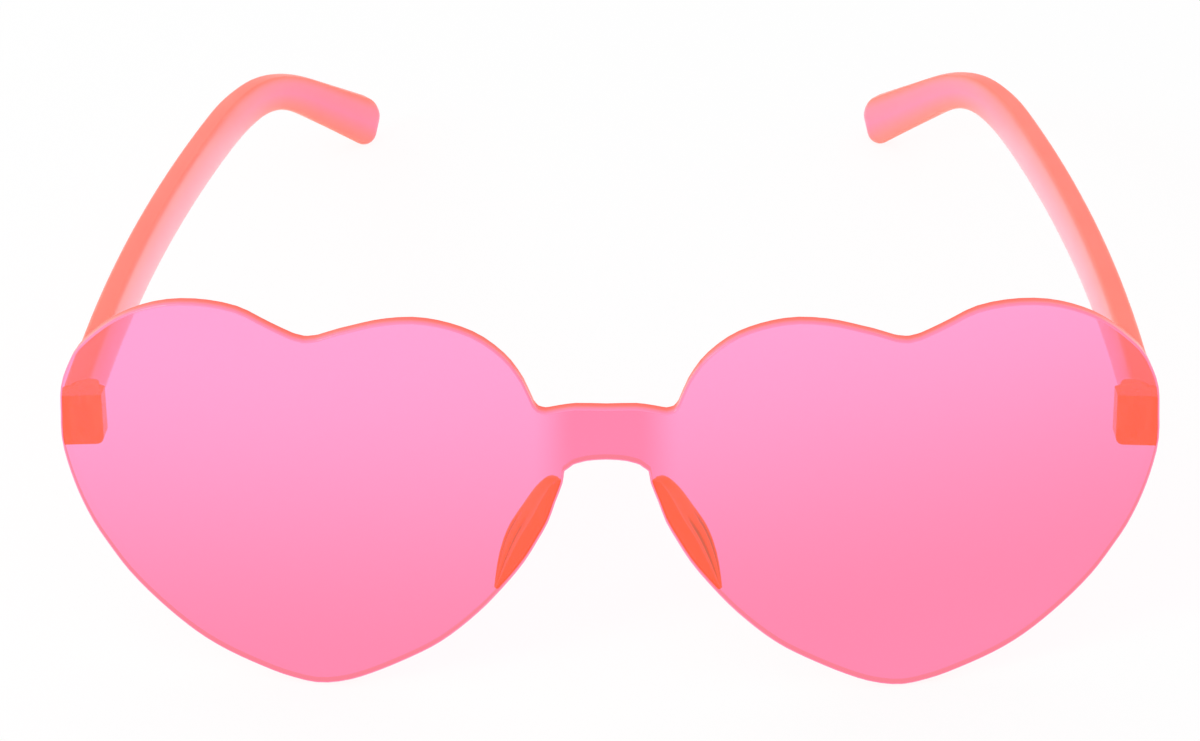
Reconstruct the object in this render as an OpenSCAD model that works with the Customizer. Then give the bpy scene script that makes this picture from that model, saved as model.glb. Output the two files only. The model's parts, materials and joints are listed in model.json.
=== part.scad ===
// Heart shaped rimless sunglasses: one curved lens sheet cut as two hearts and a bridge, with
// nose pads and end blocks bonded behind it and two temples on plastic hinges with steel screws.
// The glasses stand on their two heart points and their two temple tips, as on a table: front
// towards -Y, temples towards +Y, +Z up. The wearer's left is +X. All sizes are in millimetres.
// Pieces are first drawn as worn, with the lens upright and its front at y = 0 in the middle.

/* [Front lens] */
// Width of the front over both hearts
front_w = 148.1; // [140:0.1:158]
// Height of a heart, from its point to its lobes
heart_h = 58.2; // [54:0.1:63]
// Thickness of the lens sheet
lens_t = 1.8; // [1.4:0.1:2.4]
// Radius that the lens is curved to, seen from above
wrap_r = 320; // [240:10:500]
// Width of the nose opening just under the bridge
nose_gap = 11.1; // [9.5:0.1:13]
// Height of the bridge band between the hearts
bridge_h = 7.7; // [7:0.1:10]

/* [Nose pads] */
// Length of a pad along the nose edge, measured upright
pad_l = 17.2; // [12:0.2:18]
// Height of a pad's lower end above the heart points
pad_z = 16.4; // [15.8:0.2:18]
// How far a pad stands behind the lens
pad_depth = 4.4; // [4:0.1:6]
// Thickness of a pad where it meets the lens
pad_root_t = 2.3; // [1.8:0.1:3]
// Thickness of a pad at its rear edge
pad_rear_t = 1.6; // [1.1:0.1:1.8]
// How far a pad's rear edge leans away from the nose
pad_splay = 1.9; // [0.5:0.1:3]

/* [End blocks] */
// Width of a block at its lower edge, inward from the widest place of the front
block_w = 6; // [5.7:0.1:7]
// Height of a block
block_h = 7.5; // [7.3:0.1:8.5]
// Height of a block's lower face above the heart points, at its outer side
block_z = 34.1; // [33:0.1:36]
// Angle that a block's lower and upper faces rise towards the nose
block_tilt = 9; // [0:1:10]
// Depth of a block behind the lens, at the screw
block_depth = 3.5; // [3.3:0.1:4.5]

/* [Hinges] */
// Distance of the screw axis inward from the widest place of the front
hinge_inset = 3.4; // [3.3:0.05:3.6]
// Distance of the screw axis in front of the block's rear face
hinge_back = 0.6; // [0.4:0.05:0.8]
// Radius of the hinge knuckles
knuckle_r = 1.9; // [1.8:0.05:2]
// Height of the temple's knuckle, between the block's two knuckles
temple_knuckle_h = 4; // [3:0.1:4.6]
// Radius of the screw shaft
screw_r = 0.6; // [0.5:0.05:0.7]
// Radius of the screw head
screw_head_r = 1.1; // [1:0.05:1.2]
// Height of the screw head
screw_head_h = 0.7; // [0.5:0.05:0.8]
// Plastic left above the blind upper end of the screw's bore
bore_cover = 0.6; // [0.4:0.05:0.8]

/* [Temples] */
// Length of a temple along its middle line
temple_l = 144.9; // [138:0.1:155]
// Thickness of a temple
temple_t = 3.3; // [3:0.1:3.5]
// Height of a temple where it meets the block
temple_root_h = 7.5; // [7:0.1:8]
// Height of a temple's arm behind the hinge
temple_arm_h = 7.1; // [6.2:0.1:7.5]
// Height of a temple at its narrowest, in the middle of the ear bend
temple_neck_h = 6; // [5:0.1:6.8]
// Height of a temple at its tip
temple_tip_h = 8.8; // [7:0.1:9.5]
// Length of the part that bends down over the ear
bend_l = 21.6; // [16:0.2:28]
// Length of the hook behind the bend
hook_l = 14.7; // [13:0.1:24]
// Angle that the hook drops
hook_drop = 33; // [25:1:40]
// Angle that a temple first leans outward at its hinge
temple_splay = 3; // [2:0.1:4]
// Angle that the arm turns inward between hinge and bend
arm_turn = 13; // [10:0.1:16]
// Further angle that the temple turns inward round the head
hook_turn = 38; // [28:1:40]
// Angle that a tip's end is cut at, its upper corner nearer the bend
tip_slant = 15; // [0:1:30]

/* [Hidden] */

// Clearances: glue line behind the lens, hinge bore, block bore, hinge slot sides, slot wall, butt
bond_gap = 0.05;
bore_clear = 0.05;
thread_clear = 0.02;
slot_clear = 0.15;
swing_clear = 0.3;
butt_gap = 0.06;
// One overrun serves all cuts
over = 1;

// Lens outline: half a front, from the bridge's top middle round to its lower middle. The shares
// run across from the nose gap's side to the widest place, and up from the heart point.
heart_w = (front_w - nose_gap) / 2;
heart_shares = [
    [-0.023, 0.776], [0.01, 0.77], [0.033, 0.764], [0.047, 0.767], [0.056, 0.78], [0.076, 0.84],
    [0.111, 0.901], [0.17, 0.954], [0.257, 0.983], [0.336, 0.978], [0.423, 0.949], [0.491, 0.924],
    [0.555, 0.952], [0.62, 0.989], [0.703, 1], [0.783, 0.985], [0.866, 0.939], [0.944, 0.858],
    [0.972, 0.803], [0.989, 0.75], [0.996, 0.68], [1, 0.615], [0.994, 0.552], [0.978, 0.472],
    [0.954, 0.396], [0.93, 0.344], [0.889, 0.268], [0.831, 0.191], [0.76, 0.117], [0.697, 0.071],
    [0.604, 0.024], [0.561, 0.009], [0.516, 0], [0.469, 0.007], [0.42, 0.027], [0.335, 0.079],
    [0.254, 0.14]];
// The nose side's heights are shares of the height of the bridge's lower edge
nose_shares = [
    [0.175, 0.354], [0.115, 0.488], [0.082, 0.574], [0.057, 0.657], [0.034, 0.741], [0.019, 0.824],
    [0.004, 0.904], [0, 0.952], [-0.019, 0.981], [-0.042, 0.994]];
bridge_top_share = 0.775;
bridge_top = bridge_top_share * heart_h;
bridge_under = bridge_top - bridge_h;
// Longest straight step along the outline
outline_step = 2;

function across(u) = nose_gap / 2 + u * heart_w;
half_keys = concat(
    [[0, bridge_top]],
    [for (p = heart_shares) [across(p.x), p.y * heart_h]],
    [for (p = nose_shares) [across(p.x), p.y * bridge_under]],
    [[0, bridge_under]]);
front_keys = concat(half_keys, [for (i = [len(half_keys) - 2:-1:1]) [-half_keys[i].x, half_keys[i].y]]);

// A smooth closed curve through the keys: each key's tangent looks from one neighbour to the other
function key(k, i) = k[(i + len(k)) % len(k)];
function span(k, i) = norm(key(k, i + 1) - key(k, i));
function tangent(k, i) = (key(k, i + 1) - key(k, i - 1)) / (span(k, i) + span(k, i - 1));
function between(k, i, t) =
    (2 * t ^ 3 - 3 * t ^ 2 + 1) * key(k, i) + (3 * t ^ 2 - 2 * t ^ 3) * key(k, i + 1)
    + span(k, i) * ((t ^ 3 - 2 * t ^ 2 + t) * tangent(k, i) + (t ^ 3 - t ^ 2) * tangent(k, i + 1));
function smooth_loop(k, step) = [for (i = [0:len(k) - 1])
    let (n = ceil(span(k, i) / step)) for (j = [0:n - 1]) between(k, i, j / n)];
front_outline = smooth_loop(front_keys, outline_step);

// Depth of the lens's rear face behind the middle of its front, at a distance from the middle
function lens_back(x) = wrap_r - sqrt((wrap_r - lens_t) ^ 2 - x ^ 2);
// Sides of the large arcs, so that they are true to about a hundredth of a millimetre
shell_fn = 720;
round_fn = 96;

// The outline cut through the whole depth of the front, from before the lens to behind the blocks
module outline_prism(grow = 0) {
    reach = lens_back(front_w / 2) + 2 * block_depth;
    translate([0, reach, 0]) rotate([90, 0, 0]) linear_extrude(reach + over)
        offset(delta = grow) polygon(front_outline);
}

module wrap_cylinder(r) {
    translate([0, wrap_r, -over]) cylinder(r = r, h = heart_h + 2 * over, $fn = shell_fn);
}

// The nose edge: distance from the middle at a height, read off the outline's own curve
nose_first = 1 + len(heart_shares);
nose_last = nose_first + len(nose_shares) - 1;
nose_line = [for (i = [nose_first - 1:nose_last]) for (j = [0:3]) between(half_keys, i, j / 4)];
nose_heights = [for (p = nose_line) [p.y, p.x]];
function nose_x(z) = lookup(z, nose_heights);

// End block and hinge places, on the wearer's left
side_x = front_w / 2;
hinge_x = side_x - hinge_inset;
block_rear = lens_back(hinge_x) + block_depth;
hinge_y = block_rear - hinge_back;
// A block's lower and upper faces, at a distance from the middle
function block_low(x) = block_z + (side_x - x) * tan(block_tilt);
function block_high(x) = block_low(x) + block_h;
hinge_z = (block_low(hinge_x) + block_high(hinge_x)) / 2;
knuckle_z = hinge_z - temple_knuckle_h / 2;
slot_z = knuckle_z - slot_clear;
slot_h = temple_knuckle_h + 2 * slot_clear;
// The screw goes in from below. Its head's seat is as deep as the head at its shallow, inner side.
head_top = block_low(hinge_x - screw_head_r) + screw_head_h;
bore_top = block_high(hinge_x + screw_r) - bore_cover;
// A block's inner side leans inward towards its top, and its lower inner corner is round
block_lean_share = 0.04;
block_corner_share = 0.18;
block_inner_low = side_x - block_w;
block_inner_high = block_inner_low - block_lean_share * block_h;
block_corner_r = block_corner_share * block_h;
// The block's outer face stands this far outside the lens
block_proud = 0.2;
// The slot opens inward this far in front of the screw axis, for the temple's web
web_share = 0.16;
web_t = web_share * knuckle_r;

// Temple line: the middle of the arm, drawn for the wearer's left and starting at the butt face
run_l = temple_l - bend_l - hook_l;
root_l_share = 0.1;
root_l = root_l_share * temple_l;
// The inward turn round the head begins before the bend and ends before the tip
turn_l_share = 2.33;
turn_l = turn_l_share * bend_l;
turn_start = run_l + (bend_l - turn_l) / 2;
// The arm narrows up to the middle of the bend, and from there it widens towards the tip
neck_s = run_l + bend_l / 2;
hook_flare = 1.2;
// The outer faces lie a little inside the front's widest place
side_inset_share = 0.08;
temple_x = side_x - side_inset_share * temple_t - temple_t / 2;
temple_y = block_rear + butt_gap;
temple_top = block_high(temple_x);

function smooth(u) = let (c = max(0, min(1, u))) c * c * (3 - 2 * c);
function mix(a, b, u) = a + (b - a) * max(0, min(1, u));
function yaw(s) = -temple_splay + arm_turn * s / run_l + hook_turn * smooth((s - turn_start) / turn_l);
function pitch(s) = -hook_drop * smooth((s - run_l) / bend_l);
function along(s) = [-sin(yaw(s)) * cos(pitch(s)), cos(yaw(s)) * cos(pitch(s)), sin(pitch(s))];
function upward(s) = [sin(yaw(s)) * sin(pitch(s)), -cos(yaw(s)) * sin(pitch(s)), cos(pitch(s))];
function outward(s) = [cos(yaw(s)), sin(yaw(s)), 0];
function temple_h(s) =
    s < root_l ? mix(temple_root_h, temple_arm_h, smooth(s / root_l)) :
    s < neck_s ? mix(temple_arm_h, temple_neck_h, smooth((s - neck_s + bend_l) / bend_l)) :
    mix(temple_neck_h, temple_tip_h, ((s - neck_s) / (temple_l - neck_s)) ^ hook_flare);

// Round ends and edges: the tip's corners seen from the side, and the edges along the arm
tip_r_share = 0.4;
tip_r = tip_r_share * temple_tip_h;
edge_r_share = 0.2;
edge_r = edge_r_share * temple_t;
arm_steps = 44;
tip_steps = 6;
edge_steps = 3;
arm_rings = [for (i = [0:arm_steps - 1]) mix(-over, temple_l - tip_r, i / arm_steps)];
tip_rings = [for (i = [0:tip_steps]) temple_l - tip_r * (1 - sin(90 * i / tip_steps))];
temple_rings = concat(arm_rings, tip_rings);

// How much a round corner of radius r has drawn in at a distance s along the temple
function drawn_in(s, r) = let (d = s - (temple_l - r)) d <= 0 ? 0 : r - sqrt(max(0, r ^ 2 - d ^ 2));
// The rings lean more and more towards the slanted end
slant_l = 2 * temple_tip_h;
function slanted(s) = tan(tip_slant) * smooth((s - temple_l + slant_l) / slant_l);
function middles(rings) = let (start = [temple_x, temple_y, temple_top - temple_root_h / 2])
    [for (i = 0, p = start + rings[0] * along(0); i < len(rings);
          p = i + 1 < len(rings)
              ? p + (rings[i + 1] - rings[i]) * along((rings[i] + rings[i + 1]) / 2) : p,
          i = i + 1) p];
function section(half_t, half_h, r) = [for (k = [0:3]) for (j = [0:edge_steps])
    let (a = 90 * (k + j / edge_steps), sx = (k == 0 || k == 3) ? 1 : -1, sy = k < 2 ? 1 : -1)
    [sx * (half_t - r) + r * cos(a), sy * (half_h - r) + r * sin(a)]];
function ring_points(s, p) =
    let (half_t = temple_t / 2 - drawn_in(s, edge_r),
         half_h = temple_h(s) / 2 - drawn_in(s, tip_r),
         r = min(edge_r, 0.95 * half_t))
    [for (q = section(half_t, half_h, r))
        p + q.x * outward(s) + q.y * (upward(s) - slanted(s) * along(s))];
temple_middles = middles(temple_rings);
temple_sections = [for (i = [0:len(temple_rings) - 1]) ring_points(temple_rings[i], temple_middles[i])];
ring_n = 4 * (edge_steps + 1);

// A closed skin over rings of n points each, wound so that its faces look outward
function skin_faces(rings, n) = concat(
    [[for (j = [n - 1:-1:0]) j]],
    [for (i = [0:rings - 2]) for (j = [0:n - 1])
        let (a = i * n + j, b = i * n + (j + 1) % n) each [[a, b, a + n], [b, b + n, a + n]]],
    [[for (j = [0:n - 1]) (rings - 1) * n + j]]);
module skin(sections) {
    n = len(sections[0]);
    polyhedron([for (s = sections) each s], skin_faces(len(sections), n));
}

// How the glasses stand: the lean at which heart points and temple tips touch the table together
function table_z(p, lean) = p.z * cos(lean) - p.y * sin(lean);
function table_y(p, lean) = p.y * cos(lean) + p.z * sin(lean);
lens_rear_points = [for (p = front_outline) [p.x, lens_back(p.x), p.y]];
lens_front_points = [for (p = front_outline) [p.x, wrap_r - sqrt(wrap_r ^ 2 - p.x ^ 2), p.y]];
temple_points = [for (s = temple_sections) each s];
function foot(points, lean) = min([for (p = points) table_z(p, lean)]);
function settle(lean, turns) = turns == 0 ? lean :
    settle(lean + atan((foot(temple_points, lean) - foot(lens_rear_points, lean)) / temple_l), turns - 1);
settle_turns = 12;
lean = settle(0, settle_turns);
stand_z = foot(lens_rear_points, lean);
front_y = min([for (p = lens_front_points) table_y(p, lean)]);
rear_y = max([for (p = temple_points) table_y(p, lean)]);

module standing() {
    translate([0, -(front_y + rear_y) / 2, -stand_z]) rotate([-lean, 0, 0]) children();
}

// Colours as seen in the thin sheet, the thick mouldings and the steel screws
sheet_pink = [1, 0.62, 0.8, 0.6];
moulded_orange = [1, 0.42, 0.27, 0.85];
arm_coral = [1, 0.58, 0.56, 0.8];
screw_steel = [0.75, 0.75, 0.77];

module lens() {
    color(sheet_pink) intersection() {
        outline_prism();
        difference() {
            wrap_cylinder(wrap_r);
            wrap_cylinder(wrap_r - lens_t);
        }
    }
}

// A pad is a fin on the nose edge. Its sections lie level, each with its root against the lens.
pad_steps = 18;
pad_side_n = 5;
// A pad is full in the middle, blunt at its upper end and thin at its lower end
pad_low_end_share = 0.15;
pad_top_end_share = 0.25;
pad_low_full_share = 1;
pad_top_full_share = 0.6;
function pad_swell(v) =
    let (end = mix(pad_low_end_share, pad_top_end_share, v),
         full = mix(pad_low_full_share, pad_top_full_share, v))
    end + (1 - end) * sin(180 * v) ^ full;
function pad_section(v) =
    let (z = pad_z + pad_l * v, swell = pad_swell(v), x = nose_x(z) + bond_gap,
         root = pad_root_t * swell, rear = pad_rear_t * swell, depth = pad_depth * swell,
         splay = pad_splay * swell, r = rear / 2)
    concat(
        [for (i = [0:pad_side_n - 1]) let (u = i / pad_side_n)
            [x + splay * smooth(u), lens_back(x) + bond_gap + (depth - r) * u, z]],
        [for (i = [0:pad_side_n]) let (a = 180 - 180 * i / pad_side_n)
            [x + splay + r + r * cos(a), lens_back(x) + bond_gap + depth - r + r * sin(a), z]],
        [for (i = [1:pad_side_n]) let (u = 1 - i / pad_side_n)
            [x + root + (splay + rear - root) * smooth(u),
             lens_back(x + root) + bond_gap + (depth - r) * u, z]]);
module nose_pad() {
    color(moulded_orange) skin([for (i = [0:pad_steps]) pad_section(i / pad_steps)]);
}

function arc(centre, r, from, to, n) = [for (i = [0:n]) let (a = from + (to - from) * i / n)
    centre + r * [cos(a), sin(a)]];
arc_n = 8;
// A block seen from the front, past the outline on its outer side
corner_x = block_inner_low + block_corner_r;
block_front = concat(
    [[side_x + over, block_low(side_x + over)]],
    [[side_x + over, block_high(side_x + over)]],
    [[block_inner_high, block_high(block_inner_high)]],
    arc([corner_x, block_low(corner_x) + block_corner_r / cos(block_tilt)],
        block_corner_r, 180, 270 - block_tilt, arc_n));
// A block seen from above: its inner rear corner is cut away in front of the knuckles
block_plan = [
    [block_inner_high - over, 0], [side_x + over, 0], [side_x + over, block_rear],
    [hinge_x, block_rear], [hinge_x - knuckle_r, hinge_y],
    [block_inner_high, hinge_y - knuckle_r / 2], [block_inner_high - over, hinge_y - knuckle_r / 2]];

module at_hinge(z) {
    translate([hinge_x, hinge_y, z]) children();
}

module end_block() {
    slot_reach = hinge_x - block_inner_high + over;
    through = block_h + 4 * over;
    color(moulded_orange) difference() {
        intersection() {
            union() {
                translate([0, 0, block_z - over]) linear_extrude(through) polygon(block_plan);
                at_hinge(block_z - over) cylinder(r = knuckle_r, h = through, $fn = round_fn);
            }
            translate([0, 2 * block_rear, 0]) rotate([90, 0, 0])
                linear_extrude(3 * block_rear) polygon(block_front);
            outline_prism(block_proud);
            wrap_cylinder(wrap_r - lens_t - bond_gap);
        }
        at_hinge(slot_z) cylinder(r = knuckle_r + swing_clear, h = slot_h, $fn = round_fn);
        at_hinge(slot_z) translate([-slot_reach, -2 * web_t, 0]) cube([slot_reach, block_depth, slot_h]);
        at_hinge(block_z - over)
            cylinder(r = screw_r + thread_clear, h = bore_top - block_z + over, $fn = round_fn);
        at_hinge(block_z - over)
            cylinder(r = screw_head_r + bore_clear, h = head_top - block_z + over, $fn = round_fn);
    }
}

module temple() {
    relief_r = knuckle_r + swing_clear;
    relief_z = block_z - over;
    relief_h = block_h + 3 * over;
    web_l = knuckle_r + temple_t / 2;
    web_w = web_t + knuckle_r / 2;
    color(arm_coral) difference() {
        union() {
            difference() {
                skin(temple_sections);
                translate([temple_x - temple_t, temple_y - 2 * over, relief_z])
                    cube([2 * temple_t, 2 * over, relief_h]);
                at_hinge(relief_z) cylinder(r = relief_r, h = relief_h, $fn = round_fn);
            }
            at_hinge(knuckle_z) cylinder(r = knuckle_r, h = temple_knuckle_h, $fn = round_fn);
            at_hinge(knuckle_z) translate([-web_t, 0, 0]) cube([web_w, web_l, temple_knuckle_h]);
        }
        at_hinge(knuckle_z - over)
            cylinder(r = screw_r + bore_clear, h = temple_knuckle_h + 2 * over, $fn = round_fn);
    }
}

module hinge_screw() {
    slot_w_share = 0.3;
    slot_d_share = 0.4;
    slot_w = slot_w_share * screw_head_r;
    slot_d = slot_d_share * screw_head_h;
    // The head stands a little inside the block's foot and the shaft ends a little under its bore's end
    sunk = slot_clear;
    head_t = screw_head_h - sunk;
    head_low = head_top - sunk / 3 - head_t;
    color(screw_steel) difference() {
        union() {
            at_hinge(head_top - sunk) cylinder(r = screw_r, h = bore_top - head_top, $fn = round_fn);
            at_hinge(head_low) cylinder(r = screw_head_r, h = head_t, $fn = round_fn);
        }
        at_hinge(head_low - over) translate([-slot_w / 2, -2 * screw_head_r, 0])
            cube([slot_w, 4 * screw_head_r, slot_d + over]);
    }
}

module on_right() {
    mirror([1, 0, 0]) children();
}

module lens_shield() { standing() lens(); }
module right_nose_pad() { standing() on_right() nose_pad(); }
module left_nose_pad() { standing() nose_pad(); }
module right_end_block() { standing() on_right() end_block(); }
module left_end_block() { standing() end_block(); }
module right_temple() { standing() on_right() temple(); }
module left_temple() { standing() temple(); }
module right_hinge_screw() { standing() on_right() hinge_screw(); }
module left_hinge_screw() { standing() hinge_screw(); }

// The places that the part's record needs, in the standing frame
echo(lean = lean, hinge = [hinge_x, hinge_y, hinge_z], shift = [-(front_y + rear_y) / 2, -stand_z]);

lens_shield();
right_nose_pad();
left_nose_pad();
right_end_block();
left_end_block();
right_temple();
left_temple();
right_hinge_screw();
left_hinge_screw();
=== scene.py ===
import json
import math

import bmesh
import bpy
from mathutils import Matrix, Vector, kdtree


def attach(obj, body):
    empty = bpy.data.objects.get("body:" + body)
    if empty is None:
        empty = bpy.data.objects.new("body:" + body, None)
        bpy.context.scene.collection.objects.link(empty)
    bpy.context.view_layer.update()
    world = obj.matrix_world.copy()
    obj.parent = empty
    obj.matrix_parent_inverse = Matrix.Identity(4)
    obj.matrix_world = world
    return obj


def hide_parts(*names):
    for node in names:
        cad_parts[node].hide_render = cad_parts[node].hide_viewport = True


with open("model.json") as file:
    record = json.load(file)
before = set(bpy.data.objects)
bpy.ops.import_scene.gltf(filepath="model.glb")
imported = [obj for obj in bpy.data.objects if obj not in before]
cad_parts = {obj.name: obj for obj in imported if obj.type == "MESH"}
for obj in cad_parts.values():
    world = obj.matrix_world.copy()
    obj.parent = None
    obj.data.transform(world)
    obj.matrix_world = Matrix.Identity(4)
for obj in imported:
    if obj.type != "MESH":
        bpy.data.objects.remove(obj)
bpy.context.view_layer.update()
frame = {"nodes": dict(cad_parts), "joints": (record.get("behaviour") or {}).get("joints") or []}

MM = 0.001

# Sizes in millimetres, degrees and shares, as in the part; the pads are 0.3 mm fuller than there
WRAP_R = 320.0
LENS_T = 1.8
SIDE_X = 74.05
BOND_GAP = 0.05
BLOCK_Z, BLOCK_H, BLOCK_DEPTH, BLOCK_TILT = 34.1, 7.5, 3.5, 9.0
HINGE_X, HINGE_BACK = 70.65, 0.6
KNUCKLE_R, KNUCKLE_H = 1.9, 4.0
SCREW_R, BORE_CLEAR, SWING_CLEAR, BUTT_GAP = 0.6, 0.05, 0.3, 0.06
WEB_SHARE = 0.16
TEMPLE_L, TEMPLE_T = 144.9, 3.3
ROOT_H, ARM_H, NECK_H, TIP_H, HOOK_FLARE = 7.5, 7.1, 6.0, 8.8, 1.2
BEND_L, HOOK_L, HOOK_DROP = 21.6, 14.7, 33.0
TEMPLE_SPLAY, ARM_TURN, HOOK_TURN, TIP_SLANT = 3.0, 13.0, 38.0, 15.0
ROOT_L_SHARE, TURN_L_SHARE, SIDE_INSET_SHARE = 0.1, 2.33, 0.08
TIP_R_SHARE, EDGE_R_SHARE = 0.4, 0.2
PAD_L, PAD_Z, PAD_DEPTH, PAD_ROOT_T, PAD_REAR_T, PAD_SPLAY = 17.2, 16.4, 4.4, 2.3, 1.6, 2.2
PAD_LOW_END_SHARE, PAD_TOP_END_SHARE, PAD_LOW_FULL_SHARE, PAD_TOP_FULL_SHARE = 0.15, 0.25, 1.0, 0.45
OVER = 1.0

# For cleaning and softening meshes
SAME_POINT = 0.002
SOFT_STEPS, FLAT_WEIGHT = 3, 80
FLAT_ANGLE, SOFT_ANGLE, CREASE_ANGLE = (math.radians(a) for a in (1, 35, 30))

# From the worn frame to the table
lens_node = frame["nodes"]["lens_shield"]
hinge_axis = Vector(frame["joints"][1]["axis"])
lean = math.atan2(abs(hinge_axis.y), abs(hinge_axis.z))
upright = Matrix.Rotation(lean, 4, "X")
turned = [upright @ v.co for v in lens_node.data.vertices]
worn_start = Vector((0, min(p.y for p in turned), min(p.z for p in turned)))
to_table = upright.inverted() @ Matrix.Translation(worn_start) @ Matrix.Scale(MM, 4)
to_worn = to_table.inverted()


def smooth(u):
    """Eases from 0 to 1, and stays there outside them."""
    c = max(0.0, min(1.0, u))
    return c * c * (3 - 2 * c)


def mix(a, b, u):
    """From a at 0 to b at 1."""
    return a + (b - a) * max(0.0, min(1.0, u))


def lens_back(x):
    """Where the rear face of the curved sheet lies, at a distance from the middle."""
    return WRAP_R - math.sqrt((WRAP_R - LENS_T) ** 2 - x ** 2)


def block_low(x):
    """Height of a block's lower face, which rises towards the nose."""
    return BLOCK_Z + (SIDE_X - x) * math.tan(math.radians(BLOCK_TILT))


# Making meshes and pieces
def linked(name, data):
    """An object for a mesh, a lamp or a camera, put into the scene."""
    ob = bpy.data.objects.new(name, data)
    bpy.context.scene.collection.objects.link(ob)
    return ob


def new_piece(name, mesh, body, slot, nodes, *materials):
    """A finished piece: stood on the table, riding on its body, in place of its CAD nodes."""
    mesh.transform(to_table)
    mesh.update()
    for m in materials:
        mesh.materials.append(m)
    piece = linked(name, mesh)
    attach(piece, body)
    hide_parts(*nodes)


def ring_mesh(name, rings):
    """A closed skin over rings of equal length."""
    bm = bmesh.new()
    rows = [[bm.verts.new(p) for p in ring] for ring in rings]
    n = len(rows[0])
    for a, b in zip(rows, rows[1:]):
        for j in range(n):
            k = (j + 1) % n
            bm.faces.new((a[j], a[k], b[k], b[j]))
    bm.faces.new(rows[0][::-1])
    bm.faces.new(rows[-1])
    bmesh.ops.recalc_face_normals(bm, faces=bm.faces)
    mesh = bpy.data.meshes.new(name)
    bm.to_mesh(mesh)
    bm.free()
    return mesh


def cylinder_mesh(name, place, r, low, high, sides=64):
    turns = [2 * math.pi * i / sides for i in range(sides)]
    return ring_mesh(name, [[Vector((place[0] + r * math.cos(a), place[1] + r * math.sin(a), z))
                             for a in turns] for z in (low, high)])


def box_mesh(name, low, high):
    rings = [[Vector((x, y, z)) for x, y in
              ((low[0], low[1]), (high[0], low[1]), (high[0], high[1]), (low[0], high[1]))]
             for z in (low[2], high[2])]
    return ring_mesh(name, rings)


def evaluated(mesh, *modifiers):
    """The mesh after some modifiers, each given as its kind and its settings."""
    base, helpers = linked("work", mesh), []
    for kind, settings in modifiers:
        m = base.modifiers.new(kind, kind)
        for key, value in settings.items():
            if isinstance(value, bpy.types.Mesh):
                value = linked("helper", value)
                helpers.append(value)
            setattr(m, key, value)
    graph = bpy.context.evaluated_depsgraph_get()
    made = bpy.data.meshes.new_from_object(base.evaluated_get(graph))
    for ob in [base] + helpers:
        bpy.data.objects.remove(ob)
    return made


def shaped(mesh, steps):
    """The mesh after a row of cuts and joins: (operation, other mesh)."""
    return evaluated(mesh, *[("BOOLEAN", dict(operation=op, object=other, solver="EXACT"))
                             for op, other in steps])


def mirrored(mesh):
    """The same shape for the other side of the face."""
    other = mesh.copy()
    other.transform(Matrix.Scale(-1, 4, (1, 0, 0)))
    other.flip_normals()
    return other


def worn_mesh(node):
    """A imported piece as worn, without the needless edges across its flat faces."""
    mesh = frame["nodes"][node].data.copy()
    mesh.transform(to_worn)
    mesh.materials.clear()
    bm = bmesh.new()
    bm.from_mesh(mesh)
    bmesh.ops.remove_doubles(bm, verts=bm.verts, dist=SAME_POINT)
    bmesh.ops.dissolve_limit(bm, angle_limit=FLAT_ANGLE, verts=bm.verts, edges=bm.edges)
    bm.to_mesh(mesh)
    bm.free()
    return mesh


def softened(mesh, width):
    """Small round edges on a machined or moulded shape, with its flat faces kept flat."""
    made = evaluated(mesh, ("BEVEL", dict(width=width, segments=SOFT_STEPS, limit_method="ANGLE",
                                          angle_limit=SOFT_ANGLE, use_clamp_overlap=True)))
    for p in made.polygons:
        p.use_smooth = True
    return evaluated(made, ("WEIGHTED_NORMAL", dict(keep_sharp=False, weight=FLAT_WEIGHT)))


# Lens sheet
LENS_EDGE_R, LENS_EDGE_STEPS = 0.28, 5
OUTLINE_STEP, FINE_STEPS = 0.5, 8
LENS_STRIP = 3.0
FRONT_NEAR, CUT_NEAR = 0.05, 0.0001


def lens_outline():
    """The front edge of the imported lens, in order round it, as (x, z) in the worn frame."""
    bm = bmesh.new()
    bm.from_mesh(lens_node.data)
    bmesh.ops.remove_doubles(bm, verts=bm.verts, dist=SAME_POINT * MM)
    place = {v: to_worn @ v.co for v in bm.verts}
    front = {v for v, p in place.items() if abs(math.hypot(p.x, p.y - WRAP_R) - WRAP_R) < FRONT_NEAR}
    beside = {}
    for e in bm.edges:
        a, b = e.verts
        if a in front and b in front and any(not front.issuperset(f.verts) for f in e.link_faces):
            beside.setdefault(a, []).append(b)
            beside.setdefault(b, []).append(a)
    start = min(beside, key=lambda v: (round(abs(place[v].x), 3), -place[v].z))
    loop, last = [start], None
    while True:
        here = loop[-1]
        onward = [v for v in beside[here] if v is not last]
        if onward[0] is start or len(loop) > len(beside):
            break
        last = here
        loop.append(onward[0])
    points = [Vector((place[v].x, place[v].z)) for v in loop]
    bm.free()
    area = sum(a.x * b.y - b.x * a.y for a, b in zip(points, points[1:] + points[:1]))
    return points if area > 0 else points[::-1]


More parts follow.
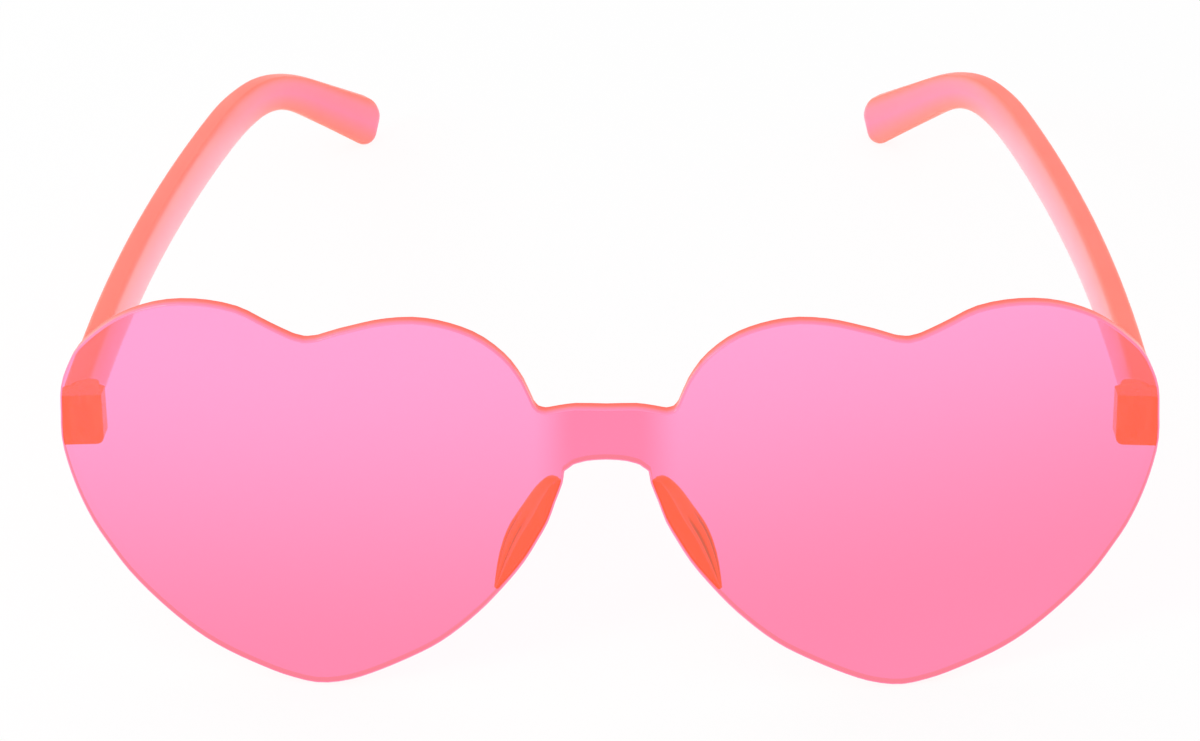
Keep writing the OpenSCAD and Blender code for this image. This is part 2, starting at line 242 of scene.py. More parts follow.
def smooth_loop(points, step):
    """A smooth closed curve through the points, at even steps."""
    n = len(points)
    dense = []
    for i in range(n):
        a, b, c, d = (points[(i + k) % n] for k in (-1, 0, 1, 2))
        span = (c - b).length
        m0 = (c - a) / ((c - b).length + (b - a).length) * span
        m1 = (d - b) / ((d - c).length + (c - b).length) * span
        for k in range(FINE_STEPS):
            t = k / FINE_STEPS
            dense.append((2 * t ** 3 - 3 * t ** 2 + 1) * b + (3 * t ** 2 - 2 * t ** 3) * c
                         + (t ** 3 - 2 * t ** 2 + t) * m0 + (t ** 3 - t ** 2) * m1)
    reach = [0.0]
    for a, b in zip(dense, dense[1:] + dense[:1]):
        reach.append(reach[-1] + (b - a).length)
    count = round(reach[-1] / step)
    out, i = [], 0
    for k in range(count):
        s = reach[-1] * k / count
        while reach[i + 1] < s:
            i += 1
        u = (s - reach[i]) / (reach[i + 1] - reach[i])
        out.append(dense[i].lerp(dense[(i + 1) % len(dense)], u))
    return out


def side_normals(loop):
    """Outward directions of a counter-clockwise loop."""
    out = []
    for i in range(len(loop)):
        t = (loop[(i + 1) % len(loop)] - loop[i - 1]).normalized()
        out.append(Vector((t.y, -t.x)))
    return out


def lens_mesh(outline):
    """The sheet with rounded edges: front and rear faces are cut in upright strips and wrapped."""
    normals = side_normals(outline)
    turns = [math.radians(90 * k / LENS_EDGE_STEPS) for k in range(LENS_EDGE_STEPS + 1)]
    profile = [(LENS_EDGE_R * (1 - math.sin(a)), LENS_EDGE_R * (1 - math.cos(a))) for a in turns]
    profile += [(0, LENS_T / 2)] + [(inset, LENS_T - depth) for inset, depth in profile[::-1]]
    bm = bmesh.new()
    rows = [[bm.verts.new((p.x - n.x * inset, depth, p.y - n.y * inset))
             for p, n in zip(outline, normals)] for inset, depth in profile]
    n = len(outline)
    for a, b in zip(rows, rows[1:]):
        for j in range(n):
            k = (j + 1) % n
            bm.faces.new((a[j], b[j], b[k], a[k])).material_index = 1
    bm.faces.new(rows[0])
    bm.faces.new(rows[-1][::-1])
    strips = math.floor(SIDE_X / LENS_STRIP)
    for i in range(-strips, strips + 1):
        bmesh.ops.bisect_plane(bm, geom=bm.verts[:] + bm.edges[:] + bm.faces[:],
                               plane_co=(i * LENS_STRIP, 0, 0), plane_no=(1, 0, 0),
                               dist=CUT_NEAR)
    bmesh.ops.triangulate(bm, faces=[f for f in bm.faces if len(f.verts) > 4])
    tree = kdtree.KDTree(n)
    for i, p in enumerate(outline):
        tree.insert((p.x, 0, p.y), i)
    tree.balance()
    bm.verts.index_update()
    directions, depths = [], []
    for v in bm.verts:
        x, depth, z = v.co
        depths.append(depth / LENS_T)
        side = normals[tree.find((x, 0, z))[1]]
        ahead = (LENS_EDGE_R - depth) / LENS_EDGE_R if depth < LENS_EDGE_R else \
            min(0, (LENS_T - LENS_EDGE_R - depth) / LENS_EDGE_R)
        out = math.sqrt(max(0, 1 - ahead ** 2))
        radial = Vector((x, -math.sqrt((WRAP_R - depth) ** 2 - x ** 2), 0)).normalized()
        directions.append(radial * ahead + Vector((side.x, 0, side.y)) * out)
        v.co.y = WRAP_R - math.sqrt((WRAP_R - depth) ** 2 - x ** 2)
    bmesh.ops.recalc_face_normals(bm, faces=bm.faces)
    for f in bm.faces:
        f.smooth = True
    mesh = bpy.data.meshes.new("lens_sheet")
    bm.to_mesh(mesh)
    bm.free()
    rear = mesh.attributes.new("rear", "FLOAT", "POINT")
    rear.data.foreach_set("value", depths)
    mesh.normals_split_custom_set_from_vertices(directions)
    return mesh


# Temples
RUN_L = TEMPLE_L - BEND_L - HOOK_L
ROOT_L = ROOT_L_SHARE * TEMPLE_L
TURN_L = TURN_L_SHARE * BEND_L
TURN_START = RUN_L + (BEND_L - TURN_L) / 2
NECK_S = RUN_L + BEND_L / 2
TIP_R = TIP_R_SHARE * TIP_H
EDGE_R = EDGE_R_SHARE * TEMPLE_T
SLANT_L = 2 * TIP_H
block_rear = lens_back(HINGE_X) + BLOCK_DEPTH
hinge_y = block_rear - HINGE_BACK
knuckle_z = block_low(HINGE_X) + BLOCK_H / 2 - KNUCKLE_H / 2
temple_x = SIDE_X - SIDE_INSET_SHARE * TEMPLE_T - TEMPLE_T / 2
temple_y = block_rear + BUTT_GAP
temple_top = block_low(temple_x) + BLOCK_H
relief_low, relief_high = BLOCK_Z - OVER, BLOCK_Z + BLOCK_H + 2 * OVER


def temple_frame(s):
    """Directions of a temple at a distance along it: along, upward and outward."""
    turned_in = ARM_TURN * s / RUN_L + HOOK_TURN * smooth((s - TURN_START) / TURN_L)
    yaw = math.radians(turned_in - TEMPLE_SPLAY)
    pitch = math.radians(-HOOK_DROP * smooth((s - RUN_L) / BEND_L))
    ahead = Vector((-math.sin(yaw), math.cos(yaw), 0))
    outward, up = Vector((math.cos(yaw), math.sin(yaw), 0)), Vector((0, 0, 1))
    along = ahead * math.cos(pitch) + up * math.sin(pitch)
    upward = up * math.cos(pitch) - ahead * math.sin(pitch)
    return along, upward, outward


def temple_h(s):
    """Height of a temple at a distance along it."""
    if s < ROOT_L:
        return mix(ROOT_H, ARM_H, smooth(s / ROOT_L))
    if s < NECK_S:
        return mix(ARM_H, NECK_H, smooth((s - NECK_S + BEND_L) / BEND_L))
    return mix(NECK_H, TIP_H, ((s - NECK_S) / (TEMPLE_L - NECK_S)) ** HOOK_FLARE)


def drawn_in(s, r):
    """How far an edge is drawn in near the tip, which it rounds with radius r."""
    d = s - (TEMPLE_L - r)
    return 0 if d <= 0 else r - math.sqrt(max(0, r * r - d * d))


ARM_STEPS, TIP_STEPS, EDGE_STEPS, FACE_STEPS = 150, 14, 6, 6
CORNER_MOST = 0.95
temple_rings = [mix(-OVER, TEMPLE_L - TIP_R, i / ARM_STEPS) for i in range(ARM_STEPS)] + \
    [TEMPLE_L - TIP_R * (1 - math.sin(math.radians(90 * i / TIP_STEPS))) for i in range(TIP_STEPS + 1)]


def temple_middles():
    """The temple's middle line, followed from its root ring by ring."""
    here = Vector((temple_x, temple_y, temple_top - ROOT_H / 2)) + temple_rings[0] * temple_frame(0)[0]
    out = [here]
    for a, b in zip(temple_rings, temple_rings[1:]):
        here = here + (b - a) * temple_frame((a + b) / 2)[0]
        out.append(here)
    return out


def section(half_t, half_h, r):
    """Points round a rectangle with round corners, with extra points down its two tall faces."""
    out = []
    for k in range(4):
        sx, sy = (1 if k in (0, 3) else -1), (1 if k < 2 else -1)
        for j in range(EDGE_STEPS + 1):
            a = math.radians(90 * (k + j / EDGE_STEPS))
            out.append((sx * (half_t - r) + r * math.cos(a), sy * (half_h - r) + r * math.sin(a)))
        if k in (1, 3):
            heights = [mix(sy, -sy, i / FACE_STEPS) * (half_h - r) for i in range(1, FACE_STEPS)]
            out += [(sx * half_t, height) for height in heights]
    return out


def temple_mesh():
    """A left temple: its swept arm and hook, cut off at the butt, with its knuckle and bore."""
    middles = temple_middles()
    rings = []
    for s, p in zip(temple_rings, middles):
        along, upward, outward = temple_frame(s)
        half_t = TEMPLE_T / 2 - drawn_in(s, EDGE_R)
        half_h = temple_h(s) / 2 - drawn_in(s, TIP_R)
        slant = math.tan(math.radians(TIP_SLANT)) * smooth((s - TEMPLE_L + SLANT_L) / SLANT_L)
        rings.append([p + x * outward + y * (upward - slant * along)
                      for x, y in section(half_t, half_h, min(EDGE_R, CORNER_MOST * half_t))])
    web_t = WEB_SHARE * KNUCKLE_R
    web_y = hinge_y + KNUCKLE_R + TEMPLE_T / 2
    knuckle_top = knuckle_z + KNUCKLE_H
    hinge, swing_r, bore_r = (HINGE_X, hinge_y), KNUCKLE_R + SWING_CLEAR, SCREW_R + BORE_CLEAR
    mesh = shaped(ring_mesh("temple", rings), [
        ("DIFFERENCE", box_mesh("butt", (temple_x - TEMPLE_T, temple_y - 2 * OVER, relief_low),
                                (temple_x + TEMPLE_T, temple_y, relief_high))),
        ("DIFFERENCE", cylinder_mesh("relief", hinge, swing_r, relief_low, relief_high)),
        ("UNION", cylinder_mesh("knuckle", hinge, KNUCKLE_R, knuckle_z, knuckle_top)),
        ("UNION", box_mesh("web", (HINGE_X - web_t, hinge_y, knuckle_z),
                           (HINGE_X + KNUCKLE_R / 2, web_y, knuckle_top))),
        ("DIFFERENCE", cylinder_mesh("bore", hinge, bore_r, knuckle_z - OVER, knuckle_top + OVER)),
    ])
    mark_temple(mesh, middles)
    return mesh


def mark_temple(mesh, middles):
    """Writes how far each point lies along the temple, up its side and outward, for the material."""
    tree = kdtree.KDTree(len(middles))
    for i, p in enumerate(middles):
        tree.insert(p, i)
    tree.balance()
    rise = mesh.attributes.new("rise", "FLOAT", "POINT")
    aside = mesh.attributes.new("aside", "FLOAT", "POINT")
    run = mesh.attributes.new("run", "FLOAT", "POINT")
    for v in mesh.vertices:
        i = tree.find(v.co)[1]
        s = temple_rings[i]
        along, upward, outward = temple_frame(s)
        rise.data[v.index].value = (v.co - middles[i]).dot(upward) / (temple_h(s) / 2)
        aside.data[v.index].value = (v.co - middles[i]).dot(outward) / (TEMPLE_T / 2)
        run.data[v.index].value = (s + (v.co - middles[i]).dot(along)) / TEMPLE_L


# Nose pads
def nose_x(outline, z):
    """Distance of the nose edge from the middle, at a height."""
    xs = []
    for a, b in zip(outline, outline[1:] + outline[:1]):
        if (a.y - z) * (b.y - z) <= 0 and a.y != b.y and a.x > 0:
            xs.append(a.x + (b.x - a.x) * (z - a.y) / (b.y - a.y))
    return min(xs)


GROOVES, GROOVE_DEPTH = 2, 0.15
GROOVES_FROM, GROOVES_TOP, GROOVE_FOOT_FADE, GROOVE_TOP_FADE = 0.15, 0.7, 0.1, 0.2
PAD_STEPS, PAD_SIDE_STEPS, PAD_FLANK_STEPS = 64, 10, 48


def groove_share(u, v):
    """How deep in a groove a point of a pad's flank is: u from root to rear, v from foot to top."""
    across = (u - GROOVES_FROM) / (1 - GROOVES_FROM)
    if across <= 0:
        return 0
    fade = smooth(v / GROOVE_FOOT_FADE) * smooth((GROOVES_TOP - v) / GROOVE_TOP_FADE)
    return fade * max(0, -math.cos(2 * math.pi * GROOVES * across))


def pad_mesh(outline):
    """A left pad, ring by ring from its foot to its top, with its grooves."""
    side_n, flank_n = PAD_SIDE_STEPS, PAD_FLANK_STEPS
    rings, shares = [], []
    for i in range(PAD_STEPS + 1):
        v = i / PAD_STEPS
        z = PAD_Z + PAD_L * v
        end = mix(PAD_LOW_END_SHARE, PAD_TOP_END_SHARE, v)
        full = mix(PAD_LOW_FULL_SHARE, PAD_TOP_FULL_SHARE, v)
        swell = end + (1 - end) * max(0, math.sin(math.pi * v)) ** full
        x = nose_x(outline, z) + BOND_GAP
        root, rear, depth, splay = (k * swell for k in (PAD_ROOT_T, PAD_REAR_T, PAD_DEPTH, PAD_SPLAY))
        r = rear / 2
        y0, y1 = lens_back(x) + BOND_GAP, lens_back(x + root) + BOND_GAP
        ring = [Vector((x + splay * smooth(k / side_n), y0 + (depth - r) * k / side_n, z))
                for k in range(side_n)]
        ring += [Vector((x + splay + r - r * math.cos(math.pi * k / side_n),
                         y0 + depth - r + r * math.sin(math.pi * k / side_n), z))
                 for k in range(side_n + 1)]
        flank = [1 - k / flank_n for k in range(1, flank_n + 1)]
        shares += [0] * len(ring) + [groove_share(u, v) for u in flank]
        lean_out = splay + rear - root
        ring += [Vector((x + root + lean_out * smooth(u) - GROOVE_DEPTH * groove_share(u, v),
                         y1 + (depth - r) * u, z)) for u in flank]
        rings.append(ring)
    mesh = ring_mesh("nose_pad", rings)
    mesh.attributes.new("groove", "FLOAT", "POINT").data.foreach_set("value", shares)
    return mesh


# Colours and finishes
def rgb(r, g, b):
    """A colour written as it shows on a screen, 0 to 255."""
    def linear(c):
        c /= 255
        return c / 12.92 if c <= 0.04045 else ((c + 0.055) / 1.055) ** 2.4
    return (linear(r), linear(g), linear(b), 1.0)


# The shared marks: a cloudy and a finer noise
CLOUD_SCALE, CLOUD_DETAIL, CLOUD_FROM, CLOUD_TO = 140.0, 4.0, 0.35, 0.65
GRAIN_SCALE, GRAIN_DETAIL, GRAIN_SHARE = 900.0, 2.0, 0.2
MARK_STRENGTH = 0.25
# Marks of each material: their scale, the roughness low and high, and their height in metres
SHEET_MARKS, EDGE_MARKS = (0.5, 0.02, 0.05, 0.00001), (1.5, 0.2, 0.26, 0.00001)
ARM_MARKS, STEEL_MARKS = (0.4, 0.3, 0.38, 0.000004), (3.0, 0.29, 0.4, 0.00001)
PAD_MARKS, BLOCK_MARKS = (2.0, 0.15, 0.26, 0.00001), (2.0, 0.08, 0.14, 0.00001)
# How the plastics take light: what passes straight through, what is scattered and how far, in metres
PLASTIC_IOR = 1.45
ARM_CLEAR, PAD_CLEAR, BLOCK_CLEAR = 0.15, 0.15, 0.75
ARM_SCATTERED, ARM_SCATTER, ARM_SCATTER_COLOUR = 0.8, 0.004, (1.0, 0.6, 0.55)
MOULDED_SCATTERED, MOULDED_SCATTER, MOULDED_SCATTER_COLOUR = 0.3, 0.002, (1.0, 0.4, 0.2)
# Colours of the sheet, its painted glow and its shadow, and where in millimetres its painted shade
# changes: deeper towards the foot and the lower right, standing in for the sheet's own shadow on the
# table seen through it
SHEET_PINK, SHEET_SHADED_FOOT_PINK, BRIDGE_PINK = rgb(218, 142, 211), rgb(218, 107, 169), rgb(218, 103, 168)
SHEET_GLOW_CORAL, SHEET_GLOW = rgb(255, 163, 72), 0.163
SHEET_SHADOW = rgb(255, 165, 210)
SHEET_LOW, SHEET_HIGH, SHADE_TILT = 5.0, 62.0, 0.12
BRIDGE_TINT_FROM, BRIDGE_TINT_TO = 4.0, 10.0
# Colours of the sheet's edge from front to rear, a painted glow of light piped out through the edge,
# and of the edge seen from inside the sheet
EDGE_DEPTH = [(0.0, rgb(235, 122, 160)), (0.2, rgb(235, 110, 130)), (0.45, rgb(235, 94, 86)),
              (0.75, rgb(230, 80, 60)), (1.0, rgb(215, 76, 54))]
EDGE_WITHIN, EDGE_GLOW = rgb(250, 160, 176), 0.3
# Colours of the pads, the blocks and the screws, with painted shade down in the pads' grooves and a
# painted glow in the orange plastics
PAD_ORANGE, BLOCK_ORANGE, GROOVE_SHADE_RED = rgb(255, 115, 34), rgb(255, 100, 60), rgb(155, 32, 16)
MOULDED_GLOW, MOULDED_SHADOW = 0.25, rgb(255, 180, 160)
SCREW_STEEL = rgb(120, 116, 118)
# Colours of a temple: where it turns coral across it and up it, a painted glow of light piped out at
# its upper edge, whose inner side is left paler as painted light; where along it those of the hook
# begin; and the faces of arm and hook from their lower to their upper edge, turning coral towards their
# glowing edges. The arm's emission is a painted glow
ARM_CORAL, ARM_GLOW, ARM_SHADOW = rgb(255, 114, 96), 0.2, rgb(255, 205, 205)
CORAL_ASIDE, CORAL_RISE = (-1.2, -0.6), (0.7, 0.95)
HOOK_FROM_TO = (0.68, 0.84)
TEMPLE_RISE = [(0.0, rgb(255, 186, 194)), (0.2, rgb(255, 172, 184)), (0.5, rgb(255, 156, 168)),
               (0.8, rgb(255, 144, 146)), (1.0, rgb(255, 128, 116))]
HOOK_RISE = [(0.0, rgb(255, 140, 122)), (0.2, rgb(255, 145, 140)), (0.5, rgb(255, 146, 172)),
             (0.8, rgb(255, 148, 165)), (1.0, rgb(255, 145, 130))]


# Materials
def tree_of(name):
    """A new material and its empty node tree."""
    mat = bpy.data.materials.new(name)
    mat.use_nodes = True
    mat.node_tree.nodes.clear()
    return mat, mat.node_tree


def add(tree, kind, at=(0, 0), **values):
    """A node with its plain settings and its inputs, which are named or numbered as i0, i1 and so
    on. An output given for an input is linked to it."""
    node = tree.nodes.new(kind)
    node.location = at
    for key, value in values.items():
        name = key.replace("_", " ")
        if hasattr(node, key):
            setattr(node, key, value)
            continue
        socket = node.inputs[int(key[1:])] if key[0] == "i" and key[1:].isdigit() else node.inputs[name]
        if isinstance(value, bpy.types.NodeSocket):
            tree.links.new(value, socket)
        else:
            socket.default_value = value
    return node


def blended(tree, share, low, high, at):
    """A colour between two, each a plain colour or an output of another node."""
    node = add(tree, "ShaderNodeMix", at, data_type="RGBA")
    tree.links.new(share, node.inputs["Factor"])
    for value, socket in ((low, node.inputs[6]), (high, node.inputs[7])):
        if isinstance(value, bpy.types.NodeSocket):
            tree.links.new(value, socket)
        else:
            socket.default_value = value
    return node.outputs[2]


def share_of(tree, value, low, high, at):
    """0 below low, 1 above high and a smooth change between."""
    return add(tree, "ShaderNodeMapRange", at, interpolation_type="SMOOTHSTEP", Value=value,
               From_Min=low, From_Max=high).outputs["Result"]


def ramp_of(tree, value, stops, at):
    """A colour that follows a value from 0 to 1 through the given stops."""
    node = add(tree, "ShaderNodeValToRGB", at)
    tree.links.new(value, node.inputs[0])
    while len(node.color_ramp.elements) < len(stops):
        node.color_ramp.elements.new(0.5)
    for element, (place, colour) in zip(node.color_ramp.elements, stops):
        element.position = place
        element.color = colour
    return node.outputs["Color"]


def handling_group():
    """Fine marks that all the mouldings share: faint unevenness of the gloss and of the surface."""
    tree = bpy.data.node_groups.new("handling_marks", "ShaderNodeTree")
    face = tree.interface
    for name, usual in (("Scale", 1.0), ("Gloss Low", 0.05), ("Gloss High", 0.15)):
        face.new_socket(name, in_out="INPUT", socket_type="NodeSocketFloat").default_value = usual
    for name in ("Roughness", "Height"):
        face.new_socket(name, in_out="OUTPUT", socket_type="NodeSocketFloat")
    start = add(tree, "NodeGroupInput", (-900, 0))
    scale, low, high = (start.outputs[name] for name in ("Scale", "Gloss Low", "Gloss High"))
    place = add(tree, "ShaderNodeTexCoord", (-900, -300)).outputs["Object"]
    size = add(tree, "ShaderNodeMath", (-700, 0), operation="MULTIPLY", i0=scale, i1=CLOUD_SCALE)
    cloud = add(tree, "ShaderNodeTexNoise", (-500, 100), Vector=place, Scale=size.outputs[0],
                Detail=CLOUD_DETAIL).outputs["Fac"]
    fine = add(tree, "ShaderNodeMath", (-700, -200), operation="MULTIPLY", i0=scale, i1=GRAIN_SCALE)
    grain = add(tree, "ShaderNodeTexNoise", (-500, -200), Vector=place, Scale=fine.outputs[0],
                Detail=GRAIN_DETAIL).outputs["Fac"]
    gloss = add(tree, "ShaderNodeMapRange", (-250, 100), Value=cloud, From_Min=CLOUD_FROM,
                From_Max=CLOUD_TO, To_Min=low, To_Max=high)
    height = add(tree, "ShaderNodeMath", (-250, -200), operation="MULTIPLY_ADD", i0=grain,
                 i1=GRAIN_SHARE, i2=cloud)
    add(tree, "NodeGroupOutput", (0, 0), Roughness=gloss.outputs["Result"], Height=height.outputs[0])
    return tree


def marks(tree, scale, low, high, height):
    """The shared marks in a material: its roughness and its normal."""
    group = add(tree, "ShaderNodeGroup", (-700, -400), node_tree=handling)
    group.inputs["Scale"].default_value = scale
    group.inputs["Gloss Low"].default_value = low
    group.inputs["Gloss High"].default_value = high
    bump = add(tree, "ShaderNodeBump", (-450, -500), Strength=MARK_STRENGTH, Distance=height,
               Height=group.outputs["Height"])
    return group.outputs["Roughness"], bump.outputs["Normal"]


def lit_through(tree, shader, shade_tint):
    """Lamps reach what is behind see-through plastic, coloured by it."""
    path = add(tree, "ShaderNodeLightPath", (200, 300))
    clear = add(tree, "ShaderNodeBsdfTransparent", (200, -300), Color=shade_tint)
    both = add(tree, "ShaderNodeMixShader", (450, 0), i0=path.outputs["Is Shadow Ray"],
               i1=shader, i2=clear.outputs[0])
    add(tree, "ShaderNodeOutputMaterial", (650, 0), Surface=both.outputs[0])


def lens_material():
    """The tinted sheet: painted shade deepens it towards its foot and its lower right, standing in for
    its own shadow on the table seen through it. It is also deeper over the bridge, and has a faint
    painted coral glow.
    """
    mat, tree = tree_of("tinted_sheet")
    rough, normal = marks(tree, *SHEET_MARKS)
    place = add(tree, "ShaderNodeTexCoord", (-1300, 200)).outputs["Object"]
    split = add(tree, "ShaderNodeSeparateXYZ", (-1100, 200), Vector=place)
    away = add(tree, "ShaderNodeMath", (-900, 300), operation="ABSOLUTE", i0=split.outputs["X"])
    off_bridge = share_of(tree, away.outputs[0], BRIDGE_TINT_FROM * MM, BRIDGE_TINT_TO * MM,
                          (-700, 300))
    # Painted shade: a deeper pink towards the foot and the lower right of the sheet
    aslant = add(tree, "ShaderNodeMath", (-900, 0), operation="MULTIPLY_ADD", i0=split.outputs["X"],
                 i1=-SHADE_TILT, i2=split.outputs["Z"])
    high = share_of(tree, aslant.outputs[0], SHEET_LOW * MM, SHEET_HIGH * MM, (-700, 0))
    shade_tint = blended(tree, high, SHEET_SHADED_FOOT_PINK, SHEET_PINK, (-450, 0))
    colour = blended(tree, off_bridge, BRIDGE_PINK, shade_tint, (-250, 200))
    # The emission is a painted coral glow
    body = add(tree, "ShaderNodeBsdfPrincipled", (0, 0), Base_Color=colour, Roughness=rough,
               Normal=normal, IOR=PLASTIC_IOR, Transmission_Weight=1.0,
               Emission_Color=SHEET_GLOW_CORAL, Emission_Strength=SHEET_GLOW)
    lit_through(tree, body.outputs[0], SHEET_SHADOW)
    return mat


def lens_edge_material():
    """The sheet's cut edge, painted as glowing with light piped out through the sheet: coral at the
    rear and pink at the front. Seen from inside the sheet it is a clear, deeper pink line."""
    mat, tree = tree_of("glowing_edge")
    rough, normal = marks(tree, *EDGE_MARKS)
    rear = add(tree, "ShaderNodeAttribute", (-600, 300), attribute_name="rear").outputs["Fac"]
    # The edge's colour and its emission are a painted glow
    colour = ramp_of(tree, rear, EDGE_DEPTH, (-350, 300))
    glow = add(tree, "ShaderNodeBsdfPrincipled", (0, 300), Base_Color=colour, Roughness=rough,
               Normal=normal, IOR=PLASTIC_IOR, Emission_Color=colour, Emission_Strength=EDGE_GLOW)
    within = add(tree, "ShaderNodeBsdfTransparent", (0, -200), Color=EDGE_WITHIN)
    inside = add(tree, "ShaderNodeNewGeometry", (-200, 500)).outputs["Backfacing"]
    both = add(tree, "ShaderNodeMixShader", (300, 100), i0=inside, i1=glow.outputs[0],
               i2=within.outputs[0])
    lit_through(tree, both.outputs[0], SHEET_SHADOW)
    return mat


def temple_material():
    """Pale pink faces, with a painted coral glow over most of the upper edge and along the hook's
    edges, standing in for light piped out through the plastic. The inner side of the upper edge stays
    paler as painted light, and the emission adds a little painted glow all over.
    """
    mat, tree = tree_of("temple_plastic")
    rough, normal = marks(tree, *ARM_MARKS)
    rise = add(tree, "ShaderNodeAttribute", (-1300, 300), attribute_name="rise").outputs["Fac"]
    aside = add(tree, "ShaderNodeAttribute", (-1300, 600), attribute_name="aside").outputs["Fac"]
    run = add(tree, "ShaderNodeAttribute", (-1300, 0), attribute_name="run").outputs["Fac"]
    up = add(tree, "ShaderNodeMapRange", (-1100, 400), Value=rise, From_Min=-1.0, From_Max=1.0)
    arm, hook = (ramp_of(tree, up.outputs["Result"], stops, (-850, y))
                 for stops, y in ((TEMPLE_RISE, 400), (HOOK_RISE, 100)))
    far = share_of(tree, run, *HOOK_FROM_TO, (-850, -150))
    face = blended(tree, far, arm, hook, (-500, 200))
    # Painted glow: coral where the upper edge faces outward, with the inner side left paler as painted
    # light
    outer = share_of(tree, aside, *CORAL_ASIDE, (-850, 700))
    top = share_of(tree, rise, *CORAL_RISE, (-850, 900))
    coral = add(tree, "ShaderNodeMath", (-500, 700), operation="MULTIPLY", i0=outer, i1=top)
    colour = blended(tree, coral.outputs[0], face, ARM_CORAL, (-250, 300))
    # The emission is a painted glow
    body = add(tree, "ShaderNodeBsdfPrincipled", (0, 0), Base_Color=colour, Roughness=rough,
               Normal=normal, IOR=PLASTIC_IOR, Transmission_Weight=ARM_CLEAR,
               Subsurface_Weight=ARM_SCATTERED, Subsurface_Scale=ARM_SCATTER,
               Subsurface_Radius=ARM_SCATTER_COLOUR, Emission_Color=colour,
               Emission_Strength=ARM_GLOW)
    lit_through(tree, body.outputs[0], ARM_SHADOW)
    return mat


def moulded_material(name, colour, clear, finish):
    """Orange plastic with a little painted glow, and painted shade that deepens its colour down in any
    grooves it has.
    """
    mat, tree = tree_of(name)
    rough, normal = marks(tree, *finish)
    # Painted shade: a deeper red down in the grooves. The emission below is a painted glow
    groove = add(tree, "ShaderNodeAttribute", (-600, 300), attribute_name="groove").outputs["Fac"]
    colour = blended(tree, groove, colour, GROOVE_SHADE_RED, (-300, 300))
    body = add(tree, "ShaderNodeBsdfPrincipled", (0, 0), Base_Color=colour, Roughness=rough,
               Normal=normal, IOR=PLASTIC_IOR, Transmission_Weight=clear,
               Subsurface_Weight=MOULDED_SCATTERED, Subsurface_Scale=MOULDED_SCATTER,
               Subsurface_Radius=MOULDED_SCATTER_COLOUR, Emission_Color=colour,
               Emission_Strength=MOULDED_GLOW)
    lit_through(tree, body.outputs[0], MOULDED_SHADOW)
    return mat


def screw_material():
    """Satin steel."""
    mat, tree = tree_of("screw_steel")
    rough, normal = marks(tree, *STEEL_MARKS)
    body = add(tree, "ShaderNodeBsdfPrincipled", (0, 0), Base_Color=SCREW_STEEL, Metallic=1.0,
               Roughness=rough, Normal=normal)
    add(tree, "ShaderNodeOutputMaterial", (300, 0), Surface=body.outputs[0])
    return mat


handling = handling_group()
sheet, sheet_edge = lens_material(), lens_edge_material()
arm_plastic = temple_material()
pad_plastic = moulded_material("pad_plastic", PAD_ORANGE, PAD_CLEAR, PAD_MARKS)
block_plastic = moulded_material("block_plastic", BLOCK_ORANGE, BLOCK_CLEAR, BLOCK_MARKS)
steel = screw_material()

# Pieces
BLOCK_EDGE_R, SCREW_EDGE_R = 0.2, 0.06


def handed(mesh, side):
    """A mesh made for the wearer's left, or its mirror image for their right, shaded smooth."""
    mesh = mesh if side == "left" else mirrored(mesh)
    for p in mesh.polygons:
        p.use_smooth = True
    return mesh


outline = smooth_loop(lens_outline(), OUTLINE_STEP)
new_piece("lens_sheet", lens_mesh(outline), "front", "lens_sheet", ["lens_shield"],
          sheet, sheet_edge)
for side in ("left", "right"):
    pad = handed(pad_mesh(outline), side)
    new_piece(f"{side}_pad", pad, "front", "nose_pad", [f"{side}_nose_pad"], pad_plastic)
    block = softened(worn_mesh(f"{side}_end_block"), BLOCK_EDGE_R)
    new_piece(f"{side}_block", block, "front", "end_block", [f"{side}_end_block"], block_plastic)
    screw = softened(worn_mesh(f"{side}_hinge_screw"), SCREW_EDGE_R)
    new_piece(f"{side}_screw", screw, "front", "hinge_screw", [f"{side}_hinge_screw"], steel)
    arm = handed(temple_mesh(), side)
    arm.set_sharp_from_angle(angle=CREASE_ANGLE)
    new_piece(f"{side}_arm", arm, f"{side}_temple_arm", "temple", [f"{side}_temple"], arm_plastic)

# Table, light and camera
TABLE_HALF, TABLE_T = 6.0, 0.02
TABLE_WHITE, TABLE_ROUGH = (0.97, 0.97, 0.97, 1), 0.9
PLAIN_WHITE = (1, 1, 1, 1)
SEEN_WHITE_SHARE, THROUGH_WHITE_SHARE = 0.88, 0.2
AMBIENT = 0.86


def views_of(tree):
    """Two outputs: 1 for what is seen directly or in a reflection, and 1 for what is seen through
    the plastics."""
    path = add(tree, "ShaderNodeLightPath", (-700, 100)).outputs
    seen = add(tree, "ShaderNodeMath", (-500, 100), operation="ADD", i0=path["Is Camera Ray"],
               i1=path["Is Glossy Ray"])
    return seen.outputs[0], path["Is Transmission Ray"]


def table_material():
    """White paint, which is nearly plain white where it is seen, with the shadow still on it."""
    mat, tree = tree_of("table_white")
    seen, passed = views_of(tree)
    paint = add(tree, "ShaderNodeBsdfPrincipled", (0, 0), Base_Color=TABLE_WHITE,
                Roughness=TABLE_ROUGH, Specular_IOR_Level=0.0)
    glow = add(tree, "ShaderNodeEmission", (0, -400), Color=PLAIN_WHITE, Strength=1.0)
    whitened = add(tree, "ShaderNodeMath", (-300, 300), operation="MULTIPLY", i0=seen,
                   i1=SEEN_WHITE_SHARE)
    share = add(tree, "ShaderNodeMath", (0, 300), operation="MULTIPLY_ADD", i0=passed,
                i1=THROUGH_WHITE_SHARE, i2=whitened.outputs[0], use_clamp=True)
    both = add(tree, "ShaderNodeMixShader", (300, 0), i0=share.outputs[0], i1=paint.outputs[0],
               i2=glow.outputs[0])
    add(tree, "ShaderNodeOutputMaterial", (500, 0), Surface=both.outputs[0])
    return mat


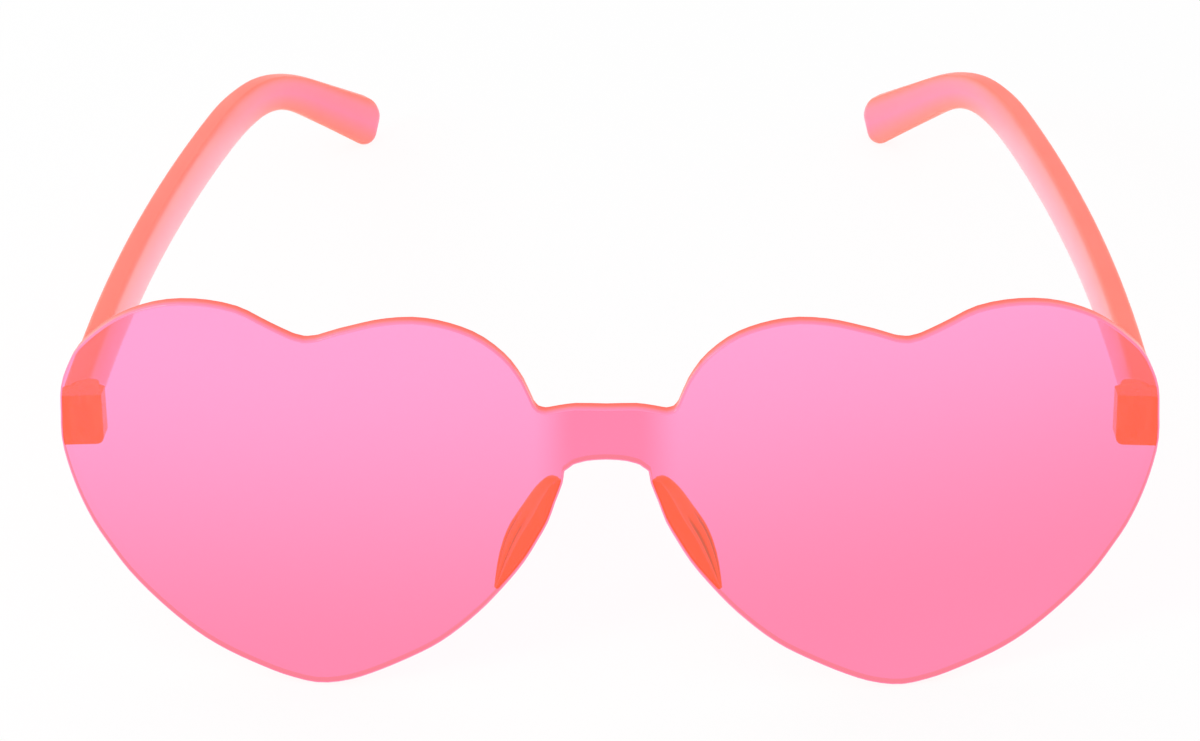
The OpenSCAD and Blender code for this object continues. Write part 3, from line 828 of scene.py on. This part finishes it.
table_mesh = box_mesh("table", (-TABLE_HALF, -TABLE_HALF, -TABLE_T), (TABLE_HALF, TABLE_HALF, 0))
table_mesh.materials.append(table_material())
floor = linked("table", table_mesh)

# The room gives most of the light, and shows as plain white in reflections and through the lens
world = bpy.data.worlds.new("studio")
world.use_nodes = True
tree = world.node_tree
seen, passed = views_of(tree)
either = add(tree, "ShaderNodeMath", (-300, 100), operation="ADD", i0=seen, i1=passed,
             use_clamp=True)
room = add(tree, "ShaderNodeMapRange", (-150, 100), Value=either.outputs[0], To_Min=AMBIENT,
           To_Max=1.0)
tree.links.new(room.outputs["Result"], tree.nodes["Background"].inputs["Strength"])
tree.nodes["Background"].inputs["Color"].default_value = PLAIN_WHITE
bpy.context.scene.world = world

# One soft lamp, from the front left and above
LAMP_PLACE, LAMP_TARGET = Vector((-0.85, -0.57, 0.61)), Vector((0, 0, 0.02))
LAMP_SIZE, LAMP_POWER = 0.35, 4.0
lamp_data = bpy.data.lights.new("key", "AREA")
lamp_data.shape, lamp_data.size, lamp_data.energy = "DISK", LAMP_SIZE, LAMP_POWER
lamp = linked("key", lamp_data)
lamp.location = LAMP_PLACE
lamp.rotation_euler = (LAMP_TARGET - LAMP_PLACE).to_track_quat("-Z", "Y").to_euler()

# The camera that fits the photo's outlines
CAMERA_PLACE = (0.006934, -0.337807, 0.250277)
CAMERA_LOOKS = (-0.02278, 0.80328, -0.59517)
CAMERA_UP = (-0.0002, 0.59532, 0.80349)
FOCAL_SHARE, SENSOR_W, CAMERA_NEAR = 2.1606, 36, 0.01
camera_data = bpy.data.cameras.new("camera")
camera_data.sensor_width = SENSOR_W
camera_data.lens = SENSOR_W * FOCAL_SHARE
camera_data.clip_start = CAMERA_NEAR
camera = linked("camera", camera_data)
looks, up = Vector(CAMERA_LOOKS).normalized(), Vector(CAMERA_UP)
across = looks.cross(up).normalized()
up = across.cross(looks)
facing = Matrix((across, up, -looks)).transposed().to_4x4()
camera.matrix_world = Matrix.Translation(CAMERA_PLACE) @ facing
bpy.context.scene.camera = camera
bpy.context.scene.view_settings.view_transform = "Standard"
